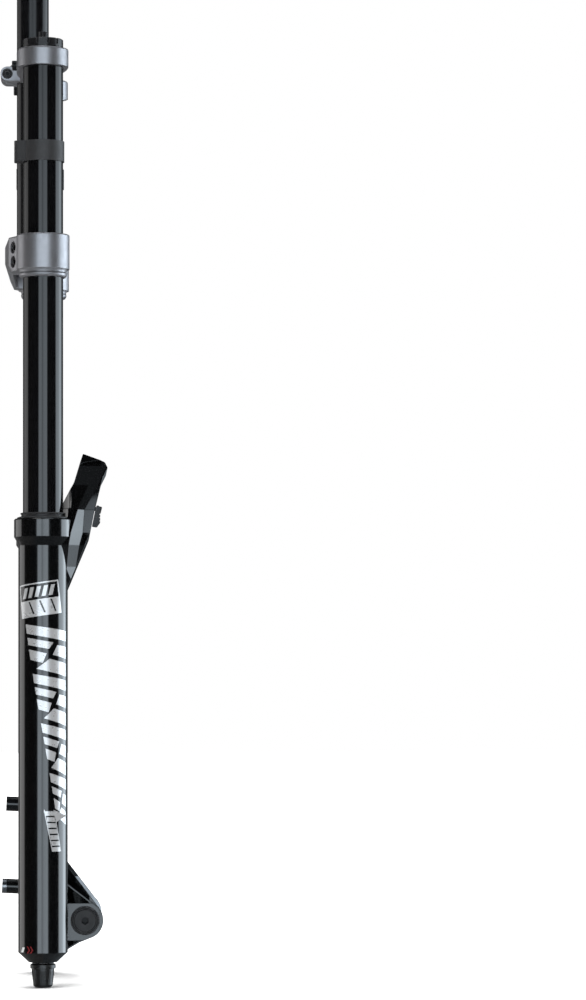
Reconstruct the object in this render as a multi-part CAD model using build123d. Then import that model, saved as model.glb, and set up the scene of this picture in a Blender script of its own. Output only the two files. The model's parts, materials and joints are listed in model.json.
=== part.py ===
"""Dual-crown downhill suspension fork for a bicycle, as separate pieces.

Frame: millimetres, +Z up along the steerer, +X forward, +Y to the rider's left. The origin is the
centre of the crown race seat, where the lower headset bearing rests on the lower crown. The right leg
(-Y) holds the damper and the left leg (+Y) holds the air spring and the brake mount. The fork is at
full extension.
"""

import os
from math import acos, cos, pi, radians, sin, sqrt, tan

from build123d import *

# Layout
LEG_X = 9.5  # leg axes ahead of the steerer axis
LEG_Y = 93.0  # leg axes either side of the middle
AXLE_X = 46.0
AXLE_Z = -597.5
HUB_HALF = 55.0  # half the front hub's 110 mm width
SIDES = {"right": -1, "left": 1}

# Fits
PRESS_GAP = 0.01  # between pieces pressed or clamped together
RUN_GAP = 0.04  # between pieces that slide or turn

# Steerer and stanchions
STEERER_R = 14.3
STEERER_BORE_R = 12.0
STEERER_TOP = 232.0
STEERER_LOW = -20.0
STEM_ZONE_LOW = 166.2  # a shallow line round the steerer, above the upper crown
RACE_R = 15.0
RACE_HEIGHT = 6.0
STANCHION_R = 17.5
STANCHION_BORE_R = 15.9
STANCHION_TOP = 164.8
STANCHION_LOW = -412.0

# Lower crown
LOWER_DEPTH = 30.4  # height of a leg clamp
LIP_LOW = -37.5
LOWER_RING_R = 23.1
LOWER_HUB_R = 24.8
LOWER_FRONT = 24.4  # front edge of the arms
HUB_LOW = -22.0
BOLT_TILT = radians(26)  # clamp bolts face rearwards and this far outwards
BOLT_OFFSET = 22.2  # clamp bolt axis from the leg axis
BOSS_FACE = 18.5  # clamp boss face from the leg axis
LOWER_BOLT_Z = (-9.6, -22.2)

# Upper crown
UPPER_TOP = 163.3
UPPER_RING_LOW = 147.5
UPPER_ARM_LOW = 143.0
UPPER_HUB_LOW = 148.6
UPPER_RING_R = 22.2
UPPER_HUB_R = 20.6
EAR_X = -22.5
EAR_Z = 153.7
EAR_R = 6.35
EAR_HALF = 17.5
PINCH_Z = 152.0
PINCH_Y = 83.0
PINCH_BOSS_X = -13.6

# Lower legs
LEG_R = 21.5
LEG_BORE_R = 18.6
LEG_FLOOR = -618.0
LEG_LOW = -631.9
CHAMFER_Z = -623.4
FOOT_R = 12.4
COLLAR_R = 25.2
COLLAR_TOP = -248.1
COLLAR_LOW = -264.0
SEAL_BORE_R = 21.6
SEAL_BORE_LOW = -268.0

# Arch
ARCH_TOP = -187.8
ARCH_UNDER = -217.0
SCALLOP_LOW = -238.6

# Dropouts and axle
DROPOUT_R = 16.0
DROPOUT_OUT = 74.0
DROPOUT_STEP = 64.0
DROPOUT_HEEL = radians(-62)  # where the lower edge leaves the round end
RIM_WIDTH = 1.3
PAD_HEIGHT = 0.8
AXLE_R = 10.0
AXLE_BORE_R = 6.5
HEAD_R = 12.6
HEAD_NOTCHES = 32
NOTCH_R = 0.8
AXLE_BOLT_R = 9.8

# Brake mount: 74.2 mm between the M6 posts
POST_Y = 62.0
POST_R = 6.6
POST_TILT = 2.9
POST_UPPER = (-24.2, -499.2)
POST_SPACING = 74.2
POST_HOLE_R = 2.5
POST_HOLE_DEPTH = 16.0

# Damper and air spring
SHAFT_R = 5.0
SHAFT_BORE_R = 1.9
ROD_R = 1.5
CARTRIDGE_R = 14.6
CARTRIDGE_BORE_R = 13.6
STEM_R = 5.0
SLEEVE_R = 4.8
SPINDLE_R = 2.6
NEEDLE_R = 1.2
DIAL_LOW = 166.9
DIAL_TOP = 172.4
FOOT_BOLT_R = 4.0
FOOT_HEAD_R = 9.4
FOOT_RECESS_Z = -626.5

BASE = (Align.CENTER, Align.CENTER, Align.MIN)


# Shape helpers
def rod(radius, low, high, at=(0, 0)):
    """Round bar along Z."""
    return Pos(at[0], at[1], low) * Cylinder(radius, high - low, align=BASE)


def tube(outer, inner, low, high, at=(0, 0)):
    """Round tube along Z."""
    return rod(outer, low, high, at) - rod(inner, low - 1, high + 1, at)


def cross_rod(radius, y_low, y_high, x, z):
    """Round bar along Y."""
    return Pos(x, y_low, z) * (Rot(-90, 0, 0) * Cylinder(radius, y_high - y_low, align=BASE))


def turned(profile, at=(0, 0)):
    """Solid of revolution about a vertical axis from (radius, height) points."""
    face = make_face(Plane.XZ * Polyline(*profile, close=True))
    return Pos(at[0], at[1], 0) * revolve(face, Axis.Z)


def rounded(points, radii):
    """Closed outline through the points, each corner rounded to its own radius (0 leaves it sharp)."""
    face = make_face(Polyline(*points, close=True))
    for point, radius in zip(points, radii):
        if radius:
            corner = face.vertices().sort_by_distance((point[0], point[1], 0))[0]
            face = fillet(corner, radius)
    return face


def side_slab(face, y_low, y_high):
    """Extrudes an outline drawn in X and Z along Y."""
    return extrude(Plane((0, y_low, 0), x_dir=(1, 0, 0), z_dir=(0, -1, 0)) * face, y_low - y_high)


def front_slab(face, x_low, x_high):
    """Extrudes an outline drawn in Y and Z along X."""
    return extrude(Plane((x_low, 0, 0), x_dir=(0, 1, 0), z_dir=(1, 0, 0)) * face, x_high - x_low)


def hexagon(across, low, high):
    """Hexagonal prism along Z."""
    return Pos(0, 0, low) * extrude(RegularPolygon(across / sqrt(3), 6), high - low)


def cap_screw(shank_r, length, head_r, head_h, key):
    """Socket screw along -Z, with the top of its head at the origin."""
    socket_depth = 0.6 * head_h
    head = turned([(0, -head_h), (head_r, -head_h), (head_r, -0.6), (head_r - 0.6, 0), (0, 0)])
    return head + rod(shank_r, -head_h - length, -head_h) - hexagon(key, -socket_depth, 1)


def leg_at(side):
    """Plan position of a leg axis."""
    return LEG_X, side * LEG_Y


def joined(pieces):
    """One group of separate solids."""
    return Compound(children=list(pieces))


# Crown assembly
def steerer_tube():
    outside = turned(
        [
            (0, STEERER_LOW),
            (STEERER_R, STEERER_LOW),
            (STEERER_R, 0),
            (RACE_R, 0),
            (RACE_R, RACE_HEIGHT),
            (STEERER_R, RACE_HEIGHT + 1.5),
            (STEERER_R, STEM_ZONE_LOW - 1.0),
            (STEERER_R - 0.3, STEM_ZONE_LOW - 0.7),
            (STEERER_R - 0.3, STEM_ZONE_LOW - 0.3),
            (STEERER_R, STEM_ZONE_LOW),
            (STEERER_R, STEERER_TOP - 0.8),
            (STEERER_R - 0.8, STEERER_TOP),
            (0, STEERER_TOP),
        ]
    )
    return outside - rod(STEERER_BORE_R, STEERER_LOW - 1, STEERER_TOP + 1)


def boss_point(side, along, out):
    """Plan point beside a leg axis: out along the clamp bolt's heading, along its slit's heading."""
    x = LEG_X - out * cos(BOLT_TILT) - along * sin(BOLT_TILT)
    y = LEG_Y + out * sin(BOLT_TILT) - along * cos(BOLT_TILT)
    return x, side * y


def lower_crown_outline():
    """Plan of the lower crown: hub, two leg rings and the arms with their bolt bosses."""
    shape = Circle(LOWER_HUB_R)
    for side in SIDES.values():
        arm = Polyline(
            (-LOWER_HUB_R, 0),
            (-LOWER_HUB_R + 0.5, side * 10),
            boss_point(side, 31, BOSS_FACE),
            boss_point(side, 13.8, BOSS_FACE),
            leg_at(side),
            (LOWER_FRONT, side * 78),
            (LOWER_FRONT, 0),
            close=True,
        )
        shape += make_face(arm)
        shape += Pos(*leg_at(side)) * Circle(LOWER_RING_R)
    return fillet(shape.vertices(), 3)


def lower_crown_front():
    """Front view of the lower crown: a flat top, and an underside that deepens towards the legs."""
    half = [(20, HUB_LOW), (66, -LOWER_DEPTH), (120, -LOWER_DEPTH), (120, 0)]
    left = [(-y, z) for y, z in reversed(half)]
    return rounded(left + half, [0, 0, 12, 12, 12, 12, 0, 0])


def lower_crown_pockets(side):
    """Weight pockets in the underside of one arm, with a rib between them."""
    rear = [(-18, 22), (-15.5, 66), (-3, 66), (-3, 24)]
    front = [(2, 24), (2, 62), (19, 68), (19, 20)]
    floor = -8.0
    cut = None
    for points in (rear, front):
        face = rounded([(x, side * y) for x, y in points], [3, 3, 3, 3])
        pocket = extrude(Pos(0, 0, -60) * face, 60 + floor)
        cut = pocket if cut is None else cut + pocket
    return cut


def clamp_slit(side, low, high):
    """The slit that lets a lower leg clamp close."""
    face = make_face(
        Polyline(
            boss_point(side, 16, 0.8),
            boss_point(side, 33, 0.8),
            boss_point(side, 33, -0.8),
            boss_point(side, 16, -0.8),
            close=True,
        )
    )
    return extrude(Pos(0, 0, low) * face, high - low)


def clamp_bolt_plane(side, height):
    """Where a lower clamp bolt's head sits: its top, looking out of its recess."""
    x, y = boss_point(side, BOLT_OFFSET, BOSS_FACE - 1.6)
    return Plane((x, y, height), z_dir=(-cos(BOLT_TILT), side * sin(BOLT_TILT), 0))


def lip_profile():
    """Section of the rounded lip under a leg clamp."""
    return [
        (0, -LOWER_DEPTH + 3),
        (LOWER_RING_R - 1.5, -LOWER_DEPTH + 0.5),
        (20.8, -LOWER_DEPTH - 1.2),
        (20.4, -LOWER_DEPTH - 2.6),
        (20.9, -LOWER_DEPTH - 4.2),
        (20.5, -LOWER_DEPTH - 5.8),
        (19.6, LIP_LOW),
        (0, LIP_LOW),
    ]


def lower_crown():
    block = extrude(Pos(0, 0, -LOWER_DEPTH) * lower_crown_outline(), LOWER_DEPTH)
    body = block & front_slab(lower_crown_front(), -60, 60)
    body = fillet(body.faces().sort_by(Axis.Z)[-1].outer_wire().edges(), 1.2)
    for side in SIDES.values():
        body += turned(lip_profile(), leg_at(side))
        body -= lower_crown_pockets(side)
    below_bosses = make_face(Polyline((-40, -14), (-25.6, -14), (-17.3, -31), (-40, -31), close=True))
    body -= side_slab(below_bosses, -LEG_Y, LEG_Y)
    for side in SIDES.values():
        body -= rod(STANCHION_R + PRESS_GAP, LIP_LOW - 1, 1, leg_at(side))
        body -= clamp_slit(side, LIP_LOW - 1, 1)
        for height in LOWER_BOLT_Z:
            plane = clamp_bolt_plane(side, height)
            body -= plane * rod(5.3, -6.5, 12)
            body -= plane * rod(3.0 + PRESS_GAP, -31, -6)
    return body - rod(STEERER_R + PRESS_GAP, LIP_LOW - 1, 1)


def lower_crown_bolts():
    screw = cap_screw(3.0, 23, 5.0, 6.0, 5.0)
    planes = [clamp_bolt_plane(side, height) for side in SIDES.values() for height in LOWER_BOLT_Z]
    return joined(plane * screw for plane in planes)


def upper_crown_outline():
    """Plan of the upper crown: a slim bridge from ring to ring round the steerer clamp."""
    shape = Circle(UPPER_HUB_R)
    for side in SIDES.values():
        arm = Polyline(
            (-11, 0),
            (-11, side * 60),
            (PINCH_BOSS_X, side * (PINCH_Y - 7)),
            (PINCH_BOSS_X, side * (PINCH_Y + 1)),
            leg_at(side),
            (21, side * 78),
            (19, 0),
            close=True,
        )
        shape += make_face(arm)
        shape += Pos(*leg_at(side)) * Circle(UPPER_RING_R)
    return fillet(shape.vertices(), 1)


def upper_crown_front():
    """Front view of the upper crown: flat top, arms deeper than the rings and the hub."""
    half = [(14, UPPER_HUB_LOW), (32, UPPER_ARM_LOW), (72, UPPER_ARM_LOW), (90, UPPER_RING_LOW)]
    half += [(120, UPPER_RING_LOW), (120, UPPER_TOP)]
    left = [(-y, z) for y, z in reversed(half)]
    return rounded(left + half, [0, 0, 6, 8, 8, 6, 6, 8, 8, 6, 0, 0])


def steerer_ears():
    """The split ears behind the steerer that its bolt pulls together."""
    round_end = cross_rod(EAR_R, -EAR_HALF, EAR_HALF, EAR_X, EAR_Z)
    web = Pos(EAR_X / 2, 0, EAR_Z) * Box(-EAR_X, 2 * EAR_HALF, 2 * EAR_R)
    return round_end + web


def upper_crown():
    block = extrude(Pos(0, 0, UPPER_ARM_LOW) * upper_crown_outline(), UPPER_TOP - UPPER_ARM_LOW)
    body = block & front_slab(upper_crown_front(), -60, 60)
    body = fillet(body.faces().sort_by(Axis.Z)[-1].outer_wire().edges(), 1.5)
    body += steerer_ears()
    for side in SIDES.values():
        corners = [(-6.5, 27), (-6.5, 60), (15, 66), (15, 27)]
        pocket = rounded([(x, side * y) for x, y in corners], [3, 3, 3, 3])
        body -= extrude(Pos(0, 0, UPPER_TOP - 4) * pocket, 10)
        body -= extrude(Pos(0, 0, UPPER_ARM_LOW - 1) * pocket, 8)
    for side in SIDES.values():
        body -= rod(STANCHION_R + PRESS_GAP, 130, 170, leg_at(side))
        slit_y = side * (LEG_Y - STANCHION_R - 4)
        body -= Pos(-1, slit_y, PINCH_Z) * Box(1.6, 15, 60)
        plane = Plane((PINCH_BOSS_X, side * (PINCH_Y - 10.5), PINCH_Z), z_dir=(-1, 0, 0))
        body -= plane * rod(2.5 + PRESS_GAP, -24, 6)
    body -= rod(STEERER_R + PRESS_GAP, 130, 170)
    body -= Pos(EAR_X / 2 - 8, 0, EAR_Z) * Box(-EAR_X + 16, 2.0, 60)
    body -= cross_rod(3.0 + PRESS_GAP, -EAR_HALF - 1, EAR_HALF + 1, EAR_X, EAR_Z)
    return body - cross_rod(4.6, -EAR_HALF - 1, -EAR_HALF + 3.8, EAR_X, EAR_Z)


def upper_crown_pinch_bolts():
    screw = cap_screw(2.5, 20, 4.4, 4.3, 4.0)
    offset = PINCH_Y - 10.5
    planes = [
        Plane((PINCH_BOSS_X - 4.32, side * offset, PINCH_Z), z_dir=(-1, 0, 0))
        for side in SIDES.values()
    ]
    return joined(plane * screw for plane in planes)


def steerer_clamp_bolt():
    plane = Plane((EAR_X, -EAR_HALF - 0.4, EAR_Z), z_dir=(0, -1, 0))
    return plane * cap_screw(3.0, 28, 4.4, 4.1, 4.0)


def stanchion(side):
    outside = turned(
        [
            (0, STANCHION_LOW),
            (STANCHION_R - 1, STANCHION_LOW),
            (STANCHION_R, STANCHION_LOW + 2),
            (STANCHION_R, STANCHION_TOP),
            (0, STANCHION_TOP),
        ],
        leg_at(side),
    )
    return outside - rod(STANCHION_BORE_R, STANCHION_LOW - 1, STANCHION_TOP + 1, leg_at(side))


def frame_bumper(side):
    """Rubber band round a stanchion with a pad behind it, where the frame would strike."""
    low, high = 63.9, 81.8
    band_r = 18.6
    pad = rounded([(-15, -11), (-25.1, -8), (-25.1, 8), (-15, 11)], [0, 4, 4, 0])
    neck = make_face(Polyline((-4, -15), (-16, -10.6), (-16, 10.6), (-4, 15), close=True))
    plan = Circle(band_r) + pad + neck
    body = extrude(Pos(LEG_X, side * LEG_Y, low) * plan, high - low)
    body -= rod(STANCHION_R + PRESS_GAP, low - 1, high + 1, leg_at(side))
    for height in (68.4, 72.85, 77.3):
        body -= Pos(LEG_X - 25.1, side * LEG_Y, height) * Box(1.6, 20, 1.2)
    return body


CAP_TEETH = 12


def castellated_cap(side, bore_r):
    """Top cap that screws into a stanchion: twelve teeth on its rim and a sunken middle."""
    at = leg_at(side)
    body = turned(
        [
            (0, 148),
            (STANCHION_BORE_R - PRESS_GAP, 148),
            (STANCHION_BORE_R - PRESS_GAP, STANCHION_TOP + PRESS_GAP),
            (17.6, STANCHION_TOP + PRESS_GAP),
            (17.6, 171.0),
            (17.0, 171.6),
            (0, 171.6),
        ],
        at,
    )
    body -= rod(12.6, 166.5, 172, at)
    body -= rod(bore_r, 140, 180, at)
    notch = Box(6, 2.0, 5.6, align=(Align.MIN, Align.CENTER, Align.MIN))
    for tooth in range(CAP_TEETH):
        turn = Rot(0, 0, 360 / CAP_TEETH * (tooth + 0.5))
        body -= Pos(at[0], at[1], 166.6) * turn * Pos(13.6, 0, 0) * notch
    return body


def fluted(outer_r, low, high, flutes, flute_r, at):
    """Round knob body with scalloped sides."""
    body = rod(outer_r, low, high, at)
    for step in range(flutes):
        angle = 2 * pi * step / flutes
        x = at[0] + (outer_r + 0.55 * flute_r) * cos(angle)
        y = at[1] + (outer_r + 0.55 * flute_r) * sin(angle)
        body -= rod(flute_r, low - 1, high + 1, (x, y))
    return body


def high_speed_dial():
    at = leg_at(SIDES["right"])
    dial = fluted(11.0, DIAL_LOW, DIAL_TOP, 16, 1.4, at)
    sleeve = rod(SLEEVE_R, 141, DIAL_LOW + 0.5, at)
    return dial + sleeve - rod(SPINDLE_R + RUN_GAP, 130, 180, at)


def low_speed_knob():
    at = leg_at(SIDES["right"])
    cap = fluted(4.0, DIAL_TOP + 0.3, 178.5, 8, 0.9, at)
    return cap + rod(SPINDLE_R, 60, DIAL_TOP + 0.5, at) + rod(NEEDLE_R, 27, 60.1, at)


# Damper, inside the right leg
def cartridge_tube():
    at = leg_at(SIDES["right"])
    return tube(CARTRIDGE_R, CARTRIDGE_BORE_R, -398, 147.5, at)


PISTON_Z = 18.0


def compression_valve():
    """Valve body on its hollow stem, hung from the top cap."""
    at = leg_at(SIDES["right"])
    body = turned(
        [
            (0, PISTON_Z),
            (CARTRIDGE_BORE_R - PRESS_GAP, PISTON_Z),
            (CARTRIDGE_BORE_R - PRESS_GAP, PISTON_Z + 10),
            (9, PISTON_Z + 10),
            (6, PISTON_Z + 14),
            (STEM_R, PISTON_Z + 14),
            (STEM_R, 134),
            (7.5, 136),
            (7.5, 147.9),
            (0, 147.9),
        ],
        at,
    )
    body -= rod(NEEDLE_R + 0.4, PISTON_Z + 4, 139, at)
    body -= rod(SPINDLE_R + RUN_GAP, 58, 139, at)
    body -= rod(SLEEVE_R + RUN_GAP, 139, 149, at)
    for step in range(6):
        angle = radians(60 * step)
        port = (at[0] + 10 * cos(angle), at[1] + 10 * sin(angle))
        body -= rod(1.6, PISTON_Z - 1, PISTON_Z + 11, port)
    return body


def floating_piston():
    at = leg_at(SIDES["right"])
    body = tube(CARTRIDGE_BORE_R - RUN_GAP, STEM_R + RUN_GAP, 42, 54, at)
    return body - tube(CARTRIDGE_BORE_R + 2, 12.2, 47, 49, at)


def damper_seal_head():
    at = leg_at(SIDES["right"])
    body = turned(
        [
            (0, -410),
            (STANCHION_BORE_R - PRESS_GAP, -410),
            (STANCHION_BORE_R - PRESS_GAP, -398.1),
            (CARTRIDGE_BORE_R - PRESS_GAP, -398.1),
            (CARTRIDGE_BORE_R - PRESS_GAP, -388),
            (0, -388),
        ],
        at,
    )
    return body - rod(SHAFT_R + RUN_GAP, -420, -380, at)


def shaft_with_foot(side, top):
    """Hollow shaft that the foot bolt pulls down on to the leg's floor."""
    at = leg_at(side)
    body = rod(SHAFT_R, LEG_FLOOR + 0.1, top, at) + rod(8.5, LEG_FLOOR + 0.1, LEG_FLOOR + 5, at)
    body -= rod(SHAFT_BORE_R, LEG_FLOOR - 1, top + 1, at)
    return body - rod(FOOT_BOLT_R + PRESS_GAP, LEG_FLOOR - 1, LEG_FLOOR + 18, at)


REBOUND_PISTON_Z = -387.0


def damper_shaft():
    return shaft_with_foot(SIDES["right"], REBOUND_PISTON_Z + 12)


def rebound_piston():
    at = leg_at(SIDES["right"])
    low = REBOUND_PISTON_Z
    body = tube(CARTRIDGE_BORE_R - RUN_GAP, SHAFT_R + PRESS_GAP, low, low + 8, at)
    for step in range(6):
        angle = radians(60 * step)
        body -= rod(1.5, low - 1, low + 9, (at[0] + 9.5 * cos(angle), at[1] + 9.5 * sin(angle)))
    return body


# Air spring, inside the left leg
AIR_PISTON_Z = -383.6


def air_shaft():
    return shaft_with_foot(SIDES["left"], AIR_PISTON_Z + 12)


def air_piston():
    at = leg_at(SIDES["left"])
    body = tube(STANCHION_BORE_R - RUN_GAP, SHAFT_R + PRESS_GAP, AIR_PISTON_Z, AIR_PISTON_Z + 11, at)
    return body - tube(STANCHION_BORE_R + 2, 14.2, AIR_PISTON_Z + 4.5, AIR_PISTON_Z + 6.5, at)


def top_out_bumper():
    at = leg_at(SIDES["left"])
    return turned(
        [
            (SHAFT_R + PRESS_GAP, AIR_PISTON_Z - 8),
            (9, AIR_PISTON_Z - 8),
            (10.5, AIR_PISTON_Z - 4),
            (9, AIR_PISTON_Z - 0.1),
            (SHAFT_R + PRESS_GAP, AIR_PISTON_Z - 0.1),
        ],
        at,
    )


def air_seal_head():
    at = leg_at(SIDES["left"])
    body = turned(
        [
            (0, -408.4),
            (STANCHION_BORE_R - PRESS_GAP, -408.4),
            (STANCHION_BORE_R - PRESS_GAP, -394),
            (11, -392),
            (0, -392),
        ],
        at,
    )
    body -= tube(STANCHION_BORE_R + 2, 14.3, -403, -400, at)
    return body - rod(SHAFT_R + RUN_GAP, -420, -380, at)


def retaining_ring():
    """Open spring ring that holds the air seal head in the stanchion."""
    at = leg_at(SIDES["left"])
    ring = tube(STANCHION_BORE_R - PRESS_GAP, 13.2, -410.6, -409.0, at)
    gap = Box(8, 6, 4, align=(Align.MIN, Align.CENTER, Align.CENTER))
    return ring - Pos(at[0] + 11, at[1], -409.8) * gap


def volume_spacers():
    """Stack of spacers under the air cap that make the spring firmer near full travel."""
    at = leg_at(SIDES["left"])
    tops = [147.6 - 17 * count for count in range(2)]
    return joined(tube(12.5, 4.0, top - 16.6, top, at) for top in tops)


VALVE_R = 4.0


def air_valve():
    at = leg_at(SIDES["left"])
    body = turned(
        [
            (0, 150),
            (VALVE_R - PRESS_GAP, 150),
            (VALVE_R - PRESS_GAP, 167.4),
            (5.6, 167.4),
            (5.6, 168.2),
            (3.7, 168.8),
            (3.7, 173.4),
            (0, 173.4),
        ],
        at,
    )
    return body - rod(2.6, 170.5, 174, at) + rod(0.9, 165, 172.6, at)


def valve_cap():
    at = leg_at(SIDES["left"])
    body = fluted(7.6, 169.4, 178.0, 12, 1.2, at)
    return body - rod(3.7 + RUN_GAP, 168, 175, at)


# Lower legs
def leg_profile():
    """Half section of one lower leg from its foot to the seal collar."""
    return [
        (0, LEG_LOW),
        (FOOT_R, LEG_LOW),
        (LEG_R - 5.6, LEG_LOW + 3.3),
        (LEG_R - 0.8, CHAMFER_Z - 0.8),
        (LEG_R, CHAMFER_Z),
        (LEG_R, -271.6),
        (23.2, -267.2),
        (COLLAR_R, COLLAR_LOW),
        (COLLAR_R, COLLAR_TOP - 1),
        (COLLAR_R - 1, COLLAR_TOP),
        (0, COLLAR_TOP),
    ]


def arch_side():
    """Side view of the arch, leaning forward over the tyre."""
    points = [
        (44.6, ARCH_TOP),
        (63.8, -196.4),
        (66.4, -201.5),
        (61.5, -211),
        (55.2, -236.3),
        (50.6, -260),
        (31.0, -306.5),
        (12, -306.5),
        (12, -262),
        (24, -238.5),
        (36.4, -215.9),
    ]
    return rounded(points, [0.8, 2.5, 2.5, 6, 20, 12, 0, 0, 0, 8, 14])


def arch_outer():
    """Front view of the arch and its shoulders, without the tyre space."""
    half = [(36, ARCH_TOP), (64, -197), (103, -238), (112, -252), (112, -272), (93, -306.5)]
    left = [(-y, z) for y, z in reversed(half)]
    return rounded(left + half, [0, 8, 8, 12, 14, 14, 14, 14, 12, 8, 8, 0])


def tyre_space():
    """Front view of the space that the tyre turns in, open at the bottom."""
    half = [(28, ARCH_UNDER), (50, -226), (61, -256), (76, -320)]
    left = [(-y, z) for y, z in reversed(half)]
    return rounded(left + half, [0, 20, 14, 14, 14, 14, 20, 0])


def strut_trim(side):
    """Cuts a strut's outer side: it slants in to a crease, then two bevels run to the front face."""
    stations = [
        (ARCH_TOP + 3, (64, 49), (67, 46), 43),
        (-200, (60, 59), (65, 55), 52),
        (-218, (49, 78), (57, 70), 63),
        (-240, (39.7, 97), (45.5, 90.5), 87.5),
        (-260, (33.8, 104), (44, 92), 88),
        (-271, (31.8, 105), (41, 95.5), 80),
        (-290, (30, 101), (38, 92.5), 78),
        (-310, (30, 99), (38, 90.5), 76),
    ]
    back, front, outside = 26, 70, 140
    slant = tan(radians(22))
    sections = []
    for height, (crease_x, crease_y), (bend_x, bend_y), front_y in stations:
        outline = Polyline(
            (crease_x - back, side * (crease_y + back * slant)),
            (crease_x, side * crease_y),
            (bend_x, side * bend_y),
            (front, side * front_y),
            (front + 20, side * front_y),
            (front + 20, side * outside),
            (crease_x - back, side * outside),
            close=True,
        )
        sections.append(Pos(0, 0, height) * make_face(outline))
    return loft(sections, ruled=True)


def arch():
    """Bridge between the legs: side view and front view crossed, with a hollow back."""
    side_face = arch_side()
    body = side_slab(side_face, -125, 125) & front_slab(arch_outer(), 0, 90)
    body -= front_slab(tyre_space(), -1, 91)
    half = [(30, -212), (58, -209), (58, -203), (34, -193)]
    window = rounded(half + [(-y, z) for y, z in reversed(half)], [3] * 8)
    body -= (Pos(-9, 0, -4) * side_slab(side_face, -70, 70)) & front_slab(window, 0, 90)
    for side in SIDES.values():
        body -= strut_trim(side)
    keep_out = offset(lower_crown_outline(), 1.6)
    return body - extrude(Pos(0, 0, SCALLOP_LOW) * keep_out, 70)


def dropout_outline(rise_x, rise_z):
    """Side view of a plate from the leg down round the axle, whose upper end on the leg is given."""
    reach = sqrt((rise_x - AXLE_X) ** 2 + (rise_z - AXLE_Z) ** 2)
    lean = acos((rise_x - AXLE_X) / reach) - acos(DROPOUT_R / reach)
    plate = Polyline(
        (rise_x, rise_z),
        (AXLE_X + DROPOUT_R * cos(lean), AXLE_Z + DROPOUT_R * sin(lean)),
        (AXLE_X, AXLE_Z),
        (AXLE_X + DROPOUT_R * cos(DROPOUT_HEEL), AXLE_Z + DROPOUT_R * sin(DROPOUT_HEEL)),
        (AXLE_X - 5.2, AXLE_Z - 19.2),
        (AXLE_X - 15.7, AXLE_Z - 25.4),
        (LEG_X + 4, AXLE_Z - 27),
        (LEG_X + 4, rise_z),
        close=True,
    )
    return Pos(AXLE_X, AXLE_Z) * Circle(DROPOUT_R) + make_face(plate)


def above_slope(high, low):
    """Everything outside a fork end's face that falls from one plan point to another nearer the leg."""
    beyond = high[1] + 1
    outline = Polyline(high, low, (LEG_X, low[1]), (LEG_X, beyond), (high[0], beyond), close=True)
    return extrude(Pos(0, 0, AXLE_Z - 60) * make_face(outline), 120)


def inner_plate(out):
    """The fork end's inner plate, from the hub's face out to a given distance."""
    return side_slab(dropout_outline(LEG_X + 21.4, AXLE_Z + 46.3), HUB_HALF, out)


def dropout(side):
    """One fork end: an inner plate, and an outer one with a rim, a sloping floor and a flat pad."""
    inner = inner_plate(DROPOUT_STEP + 1)
    inner -= above_slope((AXLE_X + 4, DROPOUT_STEP + 1), (LEG_X + 16, DROPOUT_STEP - 6))
    outline = dropout_outline(LEG_X + 17.6, AXLE_Z + 34.7)
    outer = side_slab(outline, HUB_HALF, DROPOUT_OUT)
    outer -= above_slope((AXLE_X + 4, DROPOUT_OUT), (AXLE_X - 22, DROPOUT_STEP + 0.4))
    rim = outline - offset(outline, -RIM_WIDTH, kind=Kind.INTERSECTION)
    outer += side_slab(rim, HUB_HALF, DROPOUT_OUT)
    pad = outline & (Pos(AXLE_X - 1.3, AXLE_Z - 1.2) * Rectangle(28, 32.5))
    outer += side_slab(pad, HUB_HALF, DROPOUT_OUT + PAD_HEIGHT)
    root = inner_plate(LEG_Y - 6) & (Pos(LEG_X + 8, 0, AXLE_Z) * Box(18, 400, 200))
    body = inner + outer + root
    return body if side > 0 else mirror(body, Plane.XZ)


def post_plane(step):
    """Face of a brake post: 0 is the upper, 1 the lower. The axis points rearwards and slightly up."""
    tilt = radians(POST_TILT)
    x = POST_UPPER[0] - step * POST_SPACING * sin(tilt)
    z = POST_UPPER[1] - step * POST_SPACING * cos(tilt)
    return Plane((x, POST_Y, z), z_dir=(-cos(tilt), 0, sin(tilt)))


def brake_mount():
    """The two posts and the rib that ties them to the left leg."""
    rib = [(-7, 0), (-7, -12), (-10, -66), (-10, -88), (4, -100), (8, -100), (8, 10), (0, 10)]
    face = rounded([(x, POST_UPPER[1] + z + 4) for x, z in rib], [4, 0, 0, 4, 4, 0, 0, 4])
    body = side_slab(face, POST_Y - 5.5, LEG_Y - 12)
    for step in range(2):
        body += post_plane(step) * rod(POST_R, -30, 0)
    return body


def brake_holes():
    holes = [post_plane(step) * rod(POST_HOLE_R, -POST_HOLE_DEPTH, 1) for step in range(2)]
    return holes[0] + holes[1]


GUIDE_Y = 76.0
GUIDE_LEAN = radians(14)  # of the strut's front face
GUIDE_SCREW = (56.9, -231.6)


def guide_plane(out):
    """On the strut's front face where the hose guide is screwed on, moved out along its normal."""
    x = GUIDE_SCREW[0] + out * cos(GUIDE_LEAN)
    z = GUIDE_SCREW[1] - out * sin(GUIDE_LEAN)
    return Plane((x, GUIDE_Y, z), z_dir=(cos(GUIDE_LEAN), 0, -sin(GUIDE_LEAN)))


def lower_legs():
    body = arch()
    for side in SIDES.values():
        body += turned(leg_profile(), leg_at(side))
        body += dropout(side)
    body += brake_mount()
    for side in SIDES.values():
        at = leg_at(side)
        body -= rod(LEG_BORE_R, LEG_FLOOR, 0, at)
        body -= rod(SEAL_BORE_R, SEAL_BORE_LOW, 0, at)
        body -= rod(SEAL_BORE_R + 1.6, COLLAR_TOP, 0, at)
        body -= rod(FOOT_BOLT_R + PRESS_GAP, LEG_LOW - 1, LEG_FLOOR + 1, at)
        body -= rod(FOOT_HEAD_R + 0.5, LEG_LOW - 1, FOOT_RECESS_Z, at)
    body -= cross_rod(AXLE_R + RUN_GAP, -100, 100, AXLE_X, AXLE_Z)
    body -= brake_holes()
    return body - guide_plane(0) * rod(2.0, -10, 10)


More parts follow.
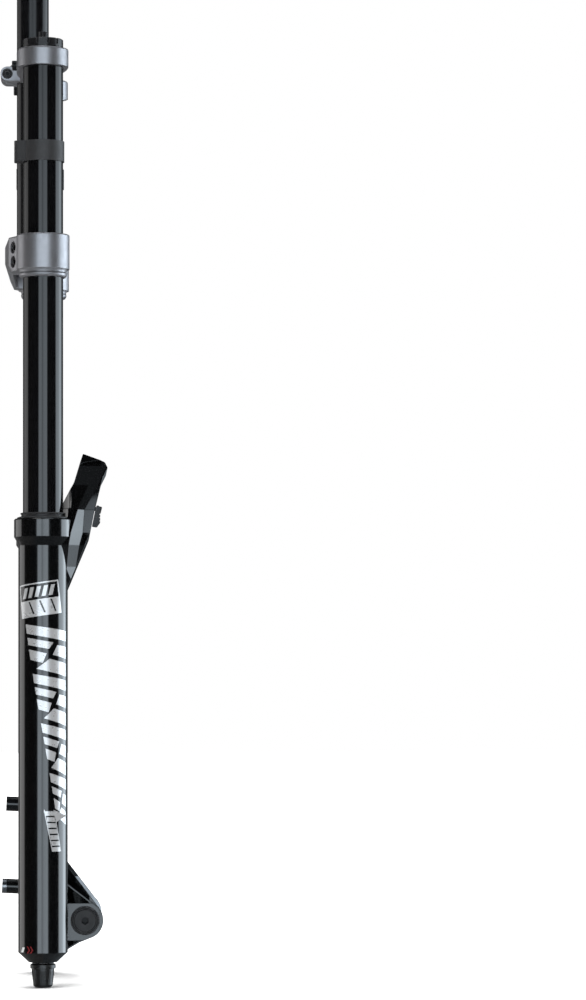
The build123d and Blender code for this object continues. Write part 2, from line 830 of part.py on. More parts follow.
def dust_wiper(side):
    """Rubber seal pressed into a collar, with two lips on the stanchion."""
    return turned(
        [
            (STANCHION_R + 1.2, COLLAR_TOP - 9),
            (SEAL_BORE_R - PRESS_GAP, COLLAR_TOP - 9),
            (SEAL_BORE_R - PRESS_GAP, COLLAR_TOP + 0.05),
            (22.6, COLLAR_TOP + 0.05),
            (22.6, COLLAR_TOP + 1.0),
            (21.4, COLLAR_TOP + 1.5),
            (18.9, COLLAR_TOP + 2.2),
            (18.9, COLLAR_TOP + 3.6),
            (19.7, COLLAR_TOP + 4.1),
            (19.5, COLLAR_TOP + 5.0),
            (18.2, COLLAR_TOP + 5.3),
            (STANCHION_R + RUN_GAP, COLLAR_TOP + 4.6),
            (STANCHION_R + RUN_GAP, COLLAR_TOP + 3.8),
            (STANCHION_R + 1.2, COLLAR_TOP + 2.0),
            (STANCHION_R + 1.2, COLLAR_TOP - 5.6),
            (STANCHION_R + RUN_GAP, COLLAR_TOP - 6.4),
            (STANCHION_R + RUN_GAP, COLLAR_TOP - 7.2),
        ],
        leg_at(side),
    )


def rings(outer, inner, low, high):
    """A pair of equal rings, one in each leg."""
    return joined(tube(outer, inner, low, high, leg_at(side)) for side in SIDES.values())


def crush_washers():
    return rings(FOOT_HEAD_R - 0.4, FOOT_BOLT_R + 0.3, FOOT_RECESS_Z - 1.0, FOOT_RECESS_Z - 0.05)


def foot_bolt(side, head_low, key, bore):
    """Bolt up through a leg's floor into its shaft."""
    at = leg_at(side)
    body = rod(FOOT_HEAD_R, head_low, FOOT_RECESS_Z - 1.05, at)
    body += rod(FOOT_BOLT_R, FOOT_RECESS_Z - 1.2, LEG_FLOOR + 16, at)
    if key:
        body -= Pos(at[0], at[1], 0) * hexagon(key, head_low - 1, head_low + 3.5)
    if bore:
        body -= rod(bore, head_low - 1, LEG_FLOOR + 17, at)
    return body


GRIP_GROOVES = 14


def rebound_knob():
    """Adjuster under the right leg: a flange and a fluted, tapering grip."""
    at = leg_at(SIDES["right"])
    body = turned(
        [
            (0, -653.3),
            (6.8, -653.3),
            (8.0, -652.6),
            (8.4, -651.2),
            (9.8, -639.5),
            (9.9, -637.5),
            (11.1, -637.1),
            (11.1, -634.1),
            (10.3, -633.3),
            (0, -633.3),
        ],
        at,
    )
    groove = Pos(10.3, 0, 0) * (Rot(0, 4.5, 0) * rod(0.9, -18, 0))
    for step in range(GRIP_GROOVES):
        body -= Pos(at[0], at[1], -638.4) * (Rot(0, 0, 360 / GRIP_GROOVES * step) * groove)
    return body - rod(ROD_R + PRESS_GAP, -645, -630, at)


def rebound_rod():
    at = leg_at(SIDES["right"])
    return rod(ROD_R, -645, REBOUND_PISTON_Z + 8, at)


# Axle and hose guide
AXLE_HEAD_Y = -DROPOUT_OUT - PAD_HEIGHT


def thru_axle():
    """Hollow 20 mm axle with a notched flange outside the right fork end."""
    body = cross_rod(AXLE_R, AXLE_HEAD_Y - 0.1, DROPOUT_OUT - 4, AXLE_X, AXLE_Z)
    body += cross_rod(HEAD_R, AXLE_HEAD_Y - 3.4, AXLE_HEAD_Y - 0.1, AXLE_X, AXLE_Z)
    for step in range(HEAD_NOTCHES):
        angle = 2 * pi * step / HEAD_NOTCHES
        x = AXLE_X + (HEAD_R - 0.5) * cos(angle)
        z = AXLE_Z + (HEAD_R - 0.5) * sin(angle)
        body -= cross_rod(NOTCH_R, AXLE_HEAD_Y - 4, AXLE_HEAD_Y - 1.4, x, z)
    body -= cross_rod(AXLE_BORE_R, AXLE_HEAD_Y - 5, 100, AXLE_X, AXLE_Z)
    return body - cross_rod(AXLE_BOLT_R + 0.3, AXLE_HEAD_Y - 5, AXLE_HEAD_Y - 1.2, AXLE_X, AXLE_Z)


def axle_bolt():
    """Hexagon-socket bolt that spreads the axle's end in the fork end."""
    plane = Plane((AXLE_X, AXLE_HEAD_Y - 3.0, AXLE_Z), z_dir=(0, -1, 0))
    head = turned([(0, -1.5), (AXLE_BOLT_R, -1.5), (AXLE_BOLT_R, -0.4), (AXLE_BOLT_R - 0.4, 0), (0, 0)])
    body = head + rod(AXLE_BORE_R - RUN_GAP, -26, -1.4) - hexagon(6.0, -8, 1)
    return plane * body


def axle_wedge():
    """Split cone that the axle bolt draws in."""
    plane = Plane((AXLE_X, AXLE_HEAD_Y - 3.0, AXLE_Z), z_dir=(0, -1, 0))
    outer_r = AXLE_BORE_R - PRESS_GAP
    cone = turned([(2.5, -40), (6.0, -40), (outer_r, -34), (outer_r, -26.3), (2.5, -26.3)])
    return plane * (cone - Pos(0, 0, -36) * Box(1.0, 20, 8.2))


def hose_guide():
    """Ribbed clip on the arch's left strut that would hold a brake hose."""
    back = [(57.6, -228.6), (55.6, -236.6), (53.4, -247.6)]
    front = [(58, -248.4), (61, -244), (61, -231), (59.6, -228.6)]
    outline = rounded(back + front, [0.8, 0, 0.8, 1.5, 1.5, 1.5, 0.8])
    body = side_slab(outline, GUIDE_Y - 6, GUIDE_Y + 6)
    body -= Pos(61, GUIDE_Y, -245) * Rot(0, -12, 0) * rod(2.6, -8, 9)
    for count in range(3):
        body -= Pos(61, GUIDE_Y, -236.5 - 3 * count) * Box(1.6, 14, 1.1)
    return body - guide_plane(0) * rod(2.0 + PRESS_GAP, -1, 20) - guide_plane(0) * rod(3.4, 2.6, 20)


def hose_guide_screw():
    return guide_plane(5.4) * cap_screw(2.0 - PRESS_GAP, 10, 3.3, 2.7, 2.5)


PARTS = {
    "steerer_tube": steerer_tube(),
    "lower_crown": lower_crown(),
    "lower_crown_bolts": lower_crown_bolts(),
    "upper_crown": upper_crown(),
    "upper_crown_pinch_bolts": upper_crown_pinch_bolts(),
    "steerer_clamp_bolt": steerer_clamp_bolt(),
    "damper_top_cap": castellated_cap(SIDES["right"], SLEEVE_R + RUN_GAP),
    "high_speed_dial": high_speed_dial(),
    "low_speed_knob": low_speed_knob(),
    "damper_cartridge_tube": cartridge_tube(),
    "compression_valve": compression_valve(),
    "floating_piston": floating_piston(),
    "damper_seal_head": damper_seal_head(),
    "damper_shaft": damper_shaft(),
    "rebound_piston": rebound_piston(),
    "rebound_rod": rebound_rod(),
    "rebound_knob": rebound_knob(),
    "air_top_cap": castellated_cap(SIDES["left"], VALVE_R),
    "air_valve": air_valve(),
    "air_valve_cap": valve_cap(),
    "volume_spacers": volume_spacers(),
    "air_shaft": air_shaft(),
    "air_piston": air_piston(),
    "top_out_bumper": top_out_bumper(),
    "air_seal_head": air_seal_head(),
    "retaining_ring": retaining_ring(),
    "lower_legs": lower_legs(),
    "foam_rings": rings(SEAL_BORE_R - PRESS_GAP, STANCHION_R + RUN_GAP, -267.9, -258.0),
    "upper_bushings": rings(LEG_BORE_R - PRESS_GAP, STANCHION_R + RUN_GAP, -290, -270),
    "lower_bushings": rings(LEG_BORE_R - PRESS_GAP, STANCHION_R + RUN_GAP, -392, -372),
    "bottom_out_bumpers": rings(15.0, 8.8, LEG_FLOOR + 0.1, LEG_FLOOR + 5.0),
    "crush_washers": crush_washers(),
    "damper_foot_bolt": foot_bolt(SIDES["right"], -633.0, 0, 1.8),
    "air_foot_bolt": foot_bolt(SIDES["left"], -632.6, 5.0, 0),
    "thru_axle": thru_axle(),
    "axle_bolt": axle_bolt(),
    "axle_wedge": axle_wedge(),
    "hose_guide": hose_guide(),
    "hose_guide_screw": hose_guide_screw(),
}
for name, side in SIDES.items():
    PARTS[f"stanchion_{name}"] = stanchion(side)
    PARTS[f"frame_bumper_{name}"] = frame_bumper(side)
    PARTS[f"dust_wiper_{name}"] = dust_wiper(side)

os.makedirs("parts", exist_ok=True)
for name, shape in PARTS.items():
    export_step(shape, f"parts/{name}.step")
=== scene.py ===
"""Looks for the dual-crown suspension fork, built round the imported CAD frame."""
import json
import math

import bmesh
import bpy
from mathutils import Matrix, Vector


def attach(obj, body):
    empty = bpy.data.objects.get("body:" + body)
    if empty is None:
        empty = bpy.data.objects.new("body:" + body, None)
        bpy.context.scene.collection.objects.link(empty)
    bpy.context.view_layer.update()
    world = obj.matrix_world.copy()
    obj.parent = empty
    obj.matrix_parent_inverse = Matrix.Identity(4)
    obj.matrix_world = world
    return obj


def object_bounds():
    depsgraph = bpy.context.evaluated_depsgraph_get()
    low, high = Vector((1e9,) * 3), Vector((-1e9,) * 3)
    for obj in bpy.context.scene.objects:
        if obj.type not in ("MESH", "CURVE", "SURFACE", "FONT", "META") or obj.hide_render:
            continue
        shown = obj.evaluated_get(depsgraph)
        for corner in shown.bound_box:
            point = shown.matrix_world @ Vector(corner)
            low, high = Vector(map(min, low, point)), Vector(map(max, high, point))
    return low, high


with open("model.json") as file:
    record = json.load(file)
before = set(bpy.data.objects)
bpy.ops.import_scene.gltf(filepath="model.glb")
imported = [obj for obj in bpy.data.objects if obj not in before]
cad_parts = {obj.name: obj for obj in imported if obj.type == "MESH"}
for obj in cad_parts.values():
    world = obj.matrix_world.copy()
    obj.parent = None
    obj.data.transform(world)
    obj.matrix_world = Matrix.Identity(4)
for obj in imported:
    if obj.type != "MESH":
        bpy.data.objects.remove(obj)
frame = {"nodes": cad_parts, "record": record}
cad_low, cad_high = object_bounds()
NODES = frame["nodes"]
MM = 0.001

# ---------------------------------------------------------------- camera

CAMERA_AT = (0.0219, -3.5537, -0.4017)
CAMERA_YAW = 3.3995
CAMERA_PITCH = 2.8084
CAMERA_ROLL = -0.1733
CAMERA_LENS = 143.022


def make_camera():
    data = bpy.data.cameras.new("camera")
    data.lens = CAMERA_LENS
    data.sensor_width = 36
    data.clip_end = 100
    cam = bpy.data.objects.new("camera", data)
    bpy.context.scene.collection.objects.link(cam)
    turn = Matrix.Rotation(-math.radians(CAMERA_YAW), 4, "Z")
    turn = turn @ Matrix.Rotation(math.radians(90 + CAMERA_PITCH), 4, "X")
    turn = turn @ Matrix.Rotation(math.radians(CAMERA_ROLL), 4, "Z")
    cam.matrix_world = Matrix.Translation(CAMERA_AT) @ turn
    bpy.context.scene.camera = cam


# ---------------------------------------------------------------- node graphs


class Graph:
    """A small helper that adds nodes to a tree and links plain values or sockets to their inputs."""

    def __init__(self, tree):
        self.tree = tree
        tree.nodes.clear()

    def node(self, kind, props=None, **inputs):
        made = self.tree.nodes.new(kind)
        for key, value in (props or {}).items():
            setattr(made, key, value)
        for key, value in inputs.items():
            self.put(made, key.replace("_", " "), value)
        return made

    def put(self, made, key, value):
        socket = made.inputs[int(key)] if key.isdigit() else made.inputs[key]
        if isinstance(value, bpy.types.NodeSocket):
            self.tree.links.new(value, socket)
        else:
            socket.default_value = value

    def math(self, operation, a, b=None, c=None, clamp=False):
        made = self.node("ShaderNodeMath", {"operation": operation, "use_clamp": clamp})
        for at, value in enumerate((a, b, c)):
            if value is not None:
                self.put(made, str(at), value)
        return made.outputs[0]

    def remap(self, value, low, high, to_low, to_high, smooth=False):
        kind = "SMOOTHSTEP" if smooth else "LINEAR"
        made = self.node("ShaderNodeMapRange", {"interpolation_type": kind}, Value=value)
        for key, number in zip(("From Min", "From Max", "To Min", "To Max"), (low, high, to_low, to_high)):
            made.inputs[key].default_value = number
        return made.outputs[0]

    def blend_colour(self, factor, a, b):
        made = self.node("ShaderNodeMix", {"data_type": "RGBA"})
        self.put(made, "0", factor)
        for key, colour in ((6, a), (7, b)):
            self.put(made, str(key), colour if isinstance(colour, bpy.types.NodeSocket) else (*colour, 1))
        return made.outputs[2]

    def blend_value(self, factor, a, b):
        made = self.node("ShaderNodeMix", {"data_type": "FLOAT"})
        for key, value in ((0, factor), (2, a), (3, b)):
            self.put(made, str(key), value)
        return made.outputs[0]

    def ramp(self, factor, stops):
        made = self.node("ShaderNodeValToRGB", Fac=factor)
        band = made.color_ramp
        while len(band.elements) < len(stops):
            band.elements.new(0.5)
        for element, (at, level) in zip(band.elements, stops):
            element.position = at
            element.color = (level, level, level, 1)
        return made.outputs[0]


# ---------------------------------------------------------------- studio

# bearing in degrees from straight behind the camera, positive towards the fork's front, and radiance
STUDIO = (
    (-180, 0.12), (-139, 0.12), (-134, 0.9), (-100, 1.25), (-93, 0.03), (-27, 0.03), (-23, 3.1), (-8, 3.1),
    (-5, 1.9), (-2, 2.0), (2, 2.9), (7, 3.1), (21, 3.4), (26, 0.03), (76, 0.03), (81, 3.8), (104, 4.0),
    (111, 5.0), (119, 5.0), (124, 2.8), (130, 2.0), (137, 0.12), (180, 0.12),
)
STUDIO_PEAK = 6.0
STUDIO_TINT = (0.8, 0.91, 1.0)
BELOW_LEVEL = 0.14
ABOVE_LEVEL = 1.0
DIFFUSE_LEVEL = 0.06


def make_world():
    """Pale behind the object; what gloss reflects is a dark studio with three upright soft boxes."""
    world = bpy.data.worlds.new("studio")
    bpy.context.scene.world = world
    world.use_nodes = True
    g = Graph(world.node_tree)
    way = g.node("ShaderNodeSeparateXYZ", Vector=g.node("ShaderNodeTexCoord").outputs["Generated"])
    x, y, z = way.outputs
    bearing = g.math("ARCTAN2", x, g.math("MULTIPLY", y, -1.0))
    share = g.remap(bearing, -math.pi, math.pi, 0, 1)
    boxes = g.ramp(share, [((a + 180) / 360, level / STUDIO_PEAK) for a, level in STUDIO])
    tall = g.remap(z, 0.044, 0.29, STUDIO_PEAK, 0.02 * STUDIO_PEAK, smooth=True)
    level = g.math("MULTIPLY", boxes, tall)
    level = g.blend_value(g.remap(z, -0.12, -0.35, 0, 1, smooth=True), level, BELOW_LEVEL)
    level = g.blend_value(g.remap(z, 0.9, 0.98, 0, 1, smooth=True), level, ABOVE_LEVEL)
    tint = g.blend_colour(g.remap(bearing, -1.2, -0.6, 0, 1), (1, 1, 1), STUDIO_TINT)
    studio = g.node("ShaderNodeBackground", Color=tint, Strength=level)
    white = g.node("ShaderNodeBackground", Color=(1, 1, 1, 1), Strength=1.0)
    dim = g.node("ShaderNodeBackground", Color=(1, 1, 1, 1), Strength=DIFFUSE_LEVEL)
    path = g.node("ShaderNodeLightPath")
    first = g.node("ShaderNodeMixShader", Fac=path.outputs["Is Glossy Ray"])
    g.put(first, "1", dim.outputs[0])
    g.put(first, "2", studio.outputs[0])
    second = g.node("ShaderNodeMixShader", Fac=path.outputs["Is Camera Ray"])
    g.put(second, "1", first.outputs[0])
    g.put(second, "2", white.outputs[0])
    g.node("ShaderNodeOutputWorld", Surface=second.outputs[0])


def make_light():
    data = bpy.data.lights.new("overhead", "SUN")
    data.energy = 7.5
    data.angle = math.radians(75)
    lamp = bpy.data.objects.new("overhead", data)
    lamp.rotation_euler = (math.radians(-8), math.radians(6), 0)
    lamp.visible_glossy = False
    bpy.context.scene.collection.objects.link(lamp)


def make_floor():
    """A large plain pale floor under the fork; mirror rays pass it, so the gloss shows the studio alone."""
    bm = bmesh.new()
    bmesh.ops.create_grid(bm, x_segments=28, y_segments=28, size=14.0)
    mesh = bpy.data.meshes.new("floor")
    bm.to_mesh(mesh)
    bm.free()
    floor = bpy.data.objects.new("floor", mesh)
    floor.location = (0, 0, cad_low.z - 0.0005)
    bpy.context.scene.collection.objects.link(floor)
    paint = bpy.data.materials.new("floor_pale")
    paint.use_nodes = True
    g = Graph(paint.node_tree)
    grain = g.node("ShaderNodeTexNoise", Scale=3.0).outputs[0]
    colour = g.blend_colour(grain, (0.84, 0.84, 0.84), (0.87, 0.87, 0.87))
    plain = g.node("ShaderNodeBsdfDiffuse", Color=colour)
    clear = g.node("ShaderNodeBsdfTransparent")
    path = g.node("ShaderNodeLightPath")
    mixed = g.node("ShaderNodeMixShader", Fac=path.outputs["Is Glossy Ray"])
    g.put(mixed, "1", plain.outputs[0])
    g.put(mixed, "2", clear.outputs[0])
    g.node("ShaderNodeOutputMaterial", Surface=mixed.outputs[0])
    mesh.materials.append(paint)


# ---------------------------------------------------------------- materials


def surface(name, dark, light, rough, metal=0.0, specular=0.5, coat=0.0, coat_rough=0.04, mottle=90.0,
            grain=(900.0, 2e-6), turned=None, streak=None, edge=None, bare=None, rounding=None):
    """A worked metal, paint, rubber or plastic.

    dark and light are the two colours that cloud together, rough is the range of roughness, grain is the
    scale and height of the fine bump, turned is the pitch and height of lathe lines along Z, streak
    stretches the roughness clouds along Z, edge is the radius, colour and strength of lightened edges,
    partly rubbed wear and partly a painted highlight, bare lists boxes in metres where the coating is
    machined away, and rounding is the radius in metres that sharp edges are shaded with.
    """
    made = bpy.data.materials.new(name)
    made.use_nodes = True
    g = Graph(made.node_tree)
    place = g.node("ShaderNodeTexCoord").outputs["Object"]
    clouds = g.node("ShaderNodeTexNoise", Vector=place, Scale=mottle, Detail=6.0, Roughness=0.6).outputs[0]
    stretched = place
    if streak:
        squeeze = g.node("ShaderNodeVectorMath", {"operation": "MULTIPLY"})
        g.put(squeeze, "0", place)
        g.put(squeeze, "1", (1, 1, streak))
        stretched = squeeze.outputs[0]
    smears = g.node("ShaderNodeTexNoise", Vector=stretched, Scale=mottle * 2.7, Detail=4.0).outputs[0]
    fine = g.node("ShaderNodeTexNoise", Vector=place, Scale=grain[0], Detail=3.0).outputs[0]
    colour = g.blend_colour(g.remap(clouds, 0.3, 0.7, 0, 1), dark, light)
    roughness = g.remap(smears, 0.3, 0.7, rough[0], rough[1])
    bump = g.node("ShaderNodeBump", Height=fine, Distance=grain[1], Strength=1.0)
    if rounding:
        g.put(bump, "Normal", g.node("ShaderNodeBevel", {"samples": 6}, Radius=rounding).outputs[0])
    normal = bump.outputs[0]
    # lathe lines go on top of the fine bump
    if turned:
        height = g.math("MULTIPLY", g.node("ShaderNodeSeparateXYZ", Vector=place).outputs[2], 1 / turned[0])
        tone = g.node("ShaderNodeTexNoise", {"noise_dimensions": "1D"}, W=height, Scale=1.0, Detail=2.0)
        lathe = g.node("ShaderNodeBump", Height=tone.outputs[0], Distance=turned[1], Strength=1.0)
        g.put(lathe, "Normal", normal)
        normal = lathe.outputs[0]
    # where the coating is cut away the plain metal shows
    metallic = metal
    if bare:
        mask = boxes_mask(g, place, bare)
        colour = g.blend_colour(mask, colour, (0.42, 0.43, 0.45))
        roughness = g.blend_value(mask, roughness, 0.32)
        metallic = g.blend_value(mask, metal, 1.0)
    # the bevelled normal leaves the true one only near an edge; there the colour is lightened, partly as rubbed
    # wear and partly as a painted highlight, and the clouds break it up
    if edge:
        soft = g.node("ShaderNodeBevel", {"samples": 4}, Radius=edge[0])
        flat = g.node("ShaderNodeNewGeometry").outputs["Normal"]
        turn = g.node("ShaderNodeVectorMath", {"operation": "DOT_PRODUCT"})
        g.put(turn, "0", soft.outputs[0])
        g.put(turn, "1", flat)
        rub_and_highlight = g.remap(turn.outputs["Value"], 0.995, 0.9, 0, edge[2])
        rub_and_highlight = g.math("MULTIPLY", rub_and_highlight, g.remap(smears, 0.35, 0.6, 0.4, 1.0))
        colour = g.blend_colour(rub_and_highlight, colour, edge[1])
    shader = g.node("ShaderNodeBsdfPrincipled")
    for key, value in (("Base Color", colour), ("Roughness", roughness), ("Metallic", metallic),
                       ("Specular IOR Level", specular), ("Coat Weight", coat), ("Coat Roughness", coat_rough),
                       ("Normal", normal)):
        g.put(shader, key, value)
    if coat:
        g.put(shader, "Coat Normal", normal)
    g.node("ShaderNodeOutputMaterial", Surface=shader.outputs[0])
    return made


def boxes_mask(g, place, boxes):
    """1 inside any of the boxes, each two corners in metres, and 0 elsewhere."""
    axes = g.node("ShaderNodeSeparateXYZ", Vector=place).outputs
    total = None
    for low, high in boxes:
        inside = None
        for axis, a, b in zip(axes, low, high):
            for term in (g.math("GREATER_THAN", axis, a), g.math("LESS_THAN", axis, b)):
                inside = term if inside is None else g.math("MULTIPLY", inside, term)
        total = inside if total is None else g.math("MAXIMUM", total, inside)
    return total


# metres: the brake posts' faces, and just over half the width between the hub faces
POST_FACE = -0.0242
HUB_FACE = 0.0552
BARE_CASTING = (
    ((-0.04, 0.04, -0.62), (POST_FACE + 0.0003, 0.09, -0.4)),
    ((0.02, -HUB_FACE, -0.625), (0.08, HUB_FACE, -0.565)),
)

SURFACES = {
    "steerer": dict(dark=(0.003, 0.003, 0.0035), light=(0.006, 0.006, 0.007), rough=(0.16, 0.24),
                    turned=(0.0006, 3e-6), streak=0.2),
    "crown": dict(dark=(0.38, 0.38, 0.4), light=(0.44, 0.44, 0.465), rough=(0.34, 0.42), metal=0.86,
                  grain=(2600.0, 3e-6), edge=(0.0006, (0.72, 0.73, 0.75), 0.6), rounding=0.0006),
    "bolt": dict(dark=(0.004, 0.004, 0.0045), light=(0.009, 0.009, 0.01), rough=(0.3, 0.42), specular=0.25,
                 grain=(1800.0, 4e-6), edge=(0.0004, (0.3, 0.3, 0.31), 0.7)),
    "stanchion": dict(dark=(0.0022, 0.0022, 0.0026), light=(0.0035, 0.0035, 0.004), rough=(0.07, 0.1),
                      turned=(0.0005, 8e-7), streak=0.1),
    "casting": dict(dark=(0.0011, 0.0011, 0.0012), light=(0.002, 0.002, 0.0023), rough=(0.14, 0.22),
                    specular=0.3, coat=1.0, coat_rough=0.03, grain=(420.0, 2.5e-6),
                    edge=(0.0005, (0.02, 0.02, 0.022), 0.6), bare=BARE_CASTING, rounding=0.0007),
    "rubber": dict(dark=(0.023, 0.0235, 0.025), light=(0.031, 0.0315, 0.033), rough=(0.4, 0.52),
                   grain=(1500.0, 1.5e-5)),
    "cap": dict(dark=(0.006, 0.006, 0.007), light=(0.014, 0.014, 0.015), rough=(0.25, 0.34),
                turned=(0.0005, 3e-6), edge=(0.0004, (0.16, 0.16, 0.17), 0.6)),
    "knob": dict(dark=(0.012, 0.012, 0.013), light=(0.022, 0.022, 0.024), rough=(0.24, 0.32),
                 turned=(0.0005, 3e-6), edge=(0.0004, (0.2, 0.2, 0.21), 0.6)),
    "rebound": dict(dark=(0.01, 0.01, 0.01), light=(0.018, 0.018, 0.018), rough=(0.26, 0.36),
                    grain=(2200.0, 1e-5), edge=(0.0004, (0.06, 0.06, 0.062), 0.5)),
    # the pale edge colours of axle and axle_bolt are painted highlights along their edges and notches
    "axle": dict(dark=(0.004, 0.004, 0.0045), light=(0.008, 0.008, 0.009), rough=(0.3, 0.4), specular=0.12,
                 grain=(2000.0, 4e-6), edge=(0.0004, (0.3, 0.31, 0.33), 0.8), rounding=0.0003),
    "axle_bolt": dict(dark=(0.014, 0.014, 0.015), light=(0.026, 0.026, 0.028), rough=(0.4, 0.5), specular=0.3,
                      grain=(2000.0, 4e-6), edge=(0.0004, (0.1, 0.105, 0.11), 0.6), rounding=0.0003),
    "inner_metal": dict(dark=(0.42, 0.42, 0.43), light=(0.5, 0.5, 0.51), rough=(0.25, 0.35), metal=1.0,
                        turned=(0.0006, 3e-6)),
    "shaft": dict(dark=(0.5, 0.5, 0.51), light=(0.58, 0.58, 0.59), rough=(0.1, 0.16), metal=1.0, streak=0.1),
    "brass": dict(dark=(0.5, 0.36, 0.16), light=(0.6, 0.45, 0.22), rough=(0.22, 0.32), metal=1.0,
                  turned=(0.0005, 3e-6)),
    "washer": dict(dark=(0.5, 0.5, 0.51), light=(0.6, 0.6, 0.61), rough=(0.3, 0.4), metal=1.0),
    "bushing": dict(dark=(0.25, 0.24, 0.22), light=(0.32, 0.3, 0.27), rough=(0.3, 0.45), metal=0.9),
    "spacer": dict(dark=(0.16, 0.16, 0.17), light=(0.22, 0.22, 0.23), rough=(0.4, 0.5)),
    "foam": dict(dark=(0.32, 0.28, 0.12), light=(0.42, 0.37, 0.17), rough=(0.8, 0.95), grain=(1500.0, 6e-5)),
}


def dress_nodes():
    made = {slot: surface("look_" + slot, **spec) for slot, spec in SURFACES.items()}
    for part in frame["record"]["subparts"]:
        for holder in NODES[part["node"]].material_slots:
            holder.material = made[part["material_slot"]]
    return made


# ---------------------------------------------------------------- graphics on the legs

# millimetres: the leg's radius and axis, the film's thickness, and the width of the flats that follow the girth
LEG_R = 21.5
LEG_X = 9.5
LEG_Y = 93.0
FILM = 0.08
STRIP = 1.2


def wrap(name, outlines, side, paint, lift=0.03):
    """Thin raised graphics on a leg's outer side.

    Each outline is a flat polygon: millimetres round the girth from the leg's outermost line towards
    the front, and height. side is -1 for the right leg and 1 for the left.
    """
    bm = bmesh.new()
    for outline in outlines:
        bm.faces.new([bm.verts.new((u, z, 0)) for u, z in outline])
    bmesh.ops.triangulate(bm, faces=bm.faces[:])
    left = min(v.co.x for v in bm.verts)
    right = max(v.co.x for v in bm.verts)
    for k in range(1, int((right - left) / STRIP)):
        every = bm.verts[:] + bm.edges[:] + bm.faces[:]
        bmesh.ops.bisect_plane(bm, geom=every, plane_co=(left + k * STRIP, 0, 0), plane_no=(1, 0, 0))
    bmesh.ops.remove_doubles(bm, verts=bm.verts[:], dist=1e-4)
    radius = LEG_R + lift
    for v in bm.verts:
        turn = v.co.x / LEG_R
        z = v.co.y
        v.co = (LEG_X + radius * math.sin(turn), side * (LEG_Y + radius * math.cos(turn)), z)
    bm.normal_update()
    for face in bm.faces:
        middle = face.calc_center_median()
        outward = Vector((middle.x - LEG_X, middle.y - side * LEG_Y, 0))
        if face.normal.dot(outward) < 0:
            face.normal_flip()
    bmesh.ops.solidify(bm, geom=bm.faces[:], thickness=-FILM)
    bmesh.ops.recalc_face_normals(bm, faces=bm.faces[:])
    bm.transform(Matrix.Scale(MM, 4))
    mesh = bpy.data.meshes.new(name)
    bm.to_mesh(mesh)
    bm.free()
    mesh.shade_smooth()
    mesh.set_sharp_from_angle(angle=math.radians(40))
    mesh.materials.append(paint)
    made = bpy.data.objects.new(name, mesh)
    bpy.context.scene.collection.objects.link(made)
    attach(made, "lowers")
    return made


def tilted(points, about, degrees):
    """Points turned about one of them in the flat."""
    c, s = math.cos(math.radians(degrees)), math.sin(math.radians(degrees))
    return [(about[0] + (x - about[0]) * c - (z - about[1]) * s,
             about[1] + (x - about[0]) * s + (z - about[1]) * c) for x, z in points]


def badge():
    """A tilted frame: slanted tabs in its upper half, and wide slanted bars that nearly fill the lower half."""
    centre = (-3.6, -318.4)
    half_u, half_z, rim = 19.8, 14.5, 1.2
    u0, u1, z0, z1 = centre[0] - half_u, centre[0] + half_u, centre[1] - half_z, centre[1] + half_z
    shapes = [
        [(u0, z1), (u1, z1), (u1, z1 - rim), (u0, z1 - rim)],
        [(u0, z1 - rim), (u0 + rim, z1 - rim), (u0 + rim, centre[1]), (u0, centre[1])],
        [(u1 - rim, z1 - rim), (u1, z1 - rim), (u1, centre[1]), (u1 - rim, centre[1])],
        [(u0, centre[1]), (u1, centre[1]), (u1, centre[1] - rim), (u0, centre[1] - rim)],
        [(u0, z0 + 2 * rim), (u1, z0 + 2 * rim), (u1, z0), (u0, z0)],
    ]
    tabs, gap, slant = 5, 2.6, 3.5
    pitch = (2 * (half_u - rim) - gap - slant) / tabs
    for k in range(tabs):
        a = u0 + rim + gap + k * pitch
        b = a + pitch - gap
        low, high = centre[1] + 2.2, z1 - 3.4
        shapes.append([(a + slant, high), (b + slant, high), (b, low), (a, low)])
    blocks, split = 4, 1.5
    pitch = 2 * half_u / blocks
    for k in range(blocks):
        a = u0 + k * pitch + (split if k else 0)
        b = u0 + (k + 1) * pitch
        low = 3.0 if k < blocks - 1 else 0.0
        shapes.append([(a, centre[1] - rim), (b, centre[1] - rim), (b + low, z0 + 2 * rim),
                       (a + (3.0 if k else 0.0), z0 + 2 * rim)])
    return [tilted(shape, centre, 8) for shape in shapes]


# one block of shards: corners as shares across the run and down the block
SHARDS = (
    ((0.0, 0.0), (1.0, 0.14), (1.0, 0.35), (0.0, 0.19)),
    ((0.0, 0.27), (0.6, 0.37), (0.48, 0.5), (0.0, 0.42)),
    ((0.7, 0.42), (1.0, 0.46), (1.0, 0.7), (0.56, 0.62)),
    ((0.0, 0.51), (0.42, 0.59), (0.3, 0.78), (0.0, 0.72)),
    ((0.48, 0.7), (1.0, 0.8), (1.0, 1.06), (0.12, 0.9)),
)


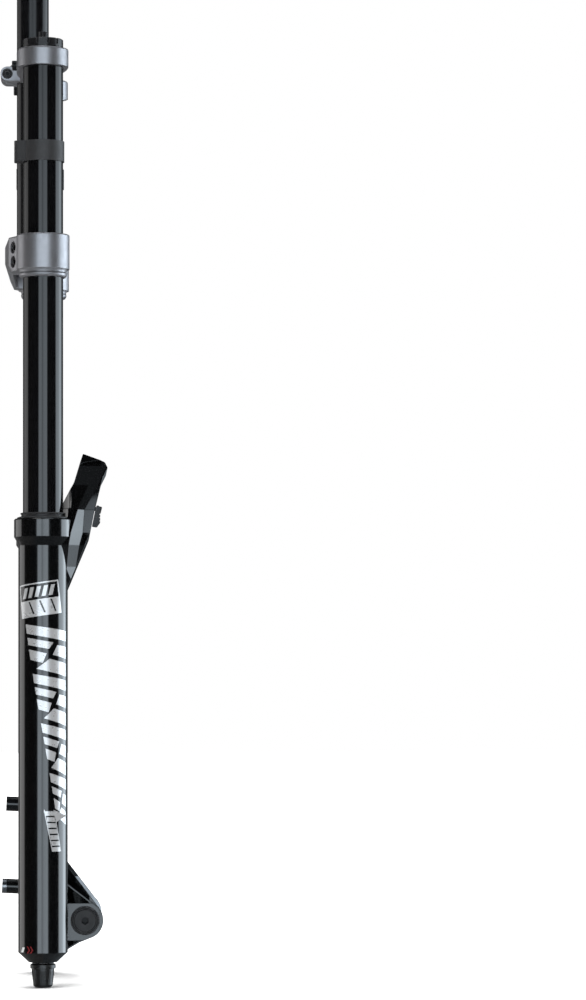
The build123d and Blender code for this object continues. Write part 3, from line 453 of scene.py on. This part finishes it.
def streamers():
    """A long run of broken shards whose left side drifts towards the front of the leg."""
    front, top, low = 24.6, -340.0, -511.0
    start, end = -16.5, 13.2
    count = 4

    def place(across, down):
        left = start + (end - start) * down
        return (left + (front - left) * across, top + (low - top) * down)

    shapes = []
    for k in range(count):
        for shard in SHARDS:
            shapes.append([place(across, (k + down) / count) for across, down in shard])
    return shapes


def plate():
    """A narrow slanted plate: two rails with a ladder of blocks between them."""
    z0, z1, half, rail = -536.0, -500.0, 4.7, 0.8

    def place(across, up):
        return (12.7 - 7.3 * up + across, z0 + (z1 - z0) * up)

    shapes = [[place(side * half, 0), place(side * half, 1), place(side * (half - rail), 1),
               place(side * (half - rail), 0)] for side in (-1, 1)]
    blocks = 7
    for k in range(blocks):
        low, high = k / blocks, (k + 1) / blocks - 0.035
        inner = half - rail - 0.25 if 0 < k < blocks - 1 else half - rail
        shapes.append([place(-inner, low), place(inner, low), place(inner, high), place(-inner, high)])
    return shapes


def foot_marks():
    """A pale tick and two small red chevrons near the foot of the leg."""
    z = -620.5
    tick = [[(-22.5, z - 2.2), (-19.5, z - 2.2), (-17.6, z + 2.0), (-20.4, z + 2.0)]]
    chevrons = []
    for k in range(2):
        u = -15.0 + 3.1 * k
        chevrons.append([(u, z + 3), (u + 1.2, z + 3), (u + 3.4, z),
                         (u + 1.2, z - 3), (u, z - 3), (u + 2.2, z)])
    return tick, chevrons


def make_graphics():
    silver = surface("film_silver", (0.57, 0.58, 0.59), (0.62, 0.63, 0.64), (0.26, 0.32), metal=0.55,
                     grain=(2600.0, 6e-7))
    pale = surface("film_pale", (0.62, 0.63, 0.63), (0.72, 0.73, 0.73), (0.35, 0.45), grain=(2600.0, 1.5e-6))
    red = surface("film_red", (0.16, 0.008, 0.01), (0.24, 0.012, 0.015), (0.3, 0.4), grain=(2600.0, 1.5e-6))
    tick, chevrons = foot_marks()
    for side, word in ((-1, "right"), (1, "left")):
        wrap("badge_" + word, badge(), side, silver)
        wrap("streamers_" + word, streamers(), side, silver)
        wrap("plate_" + word, plate(), side, silver)
        wrap("foot_tick_" + word, tick, side, pale)
        wrap("foot_chevrons_" + word, chevrons, side, red)


# ---------------------------------------------------------------- build

bpy.context.scene.view_settings.view_transform = "Standard"
make_camera()
make_world()
make_light()
make_floor()
dress_nodes()
make_graphics()
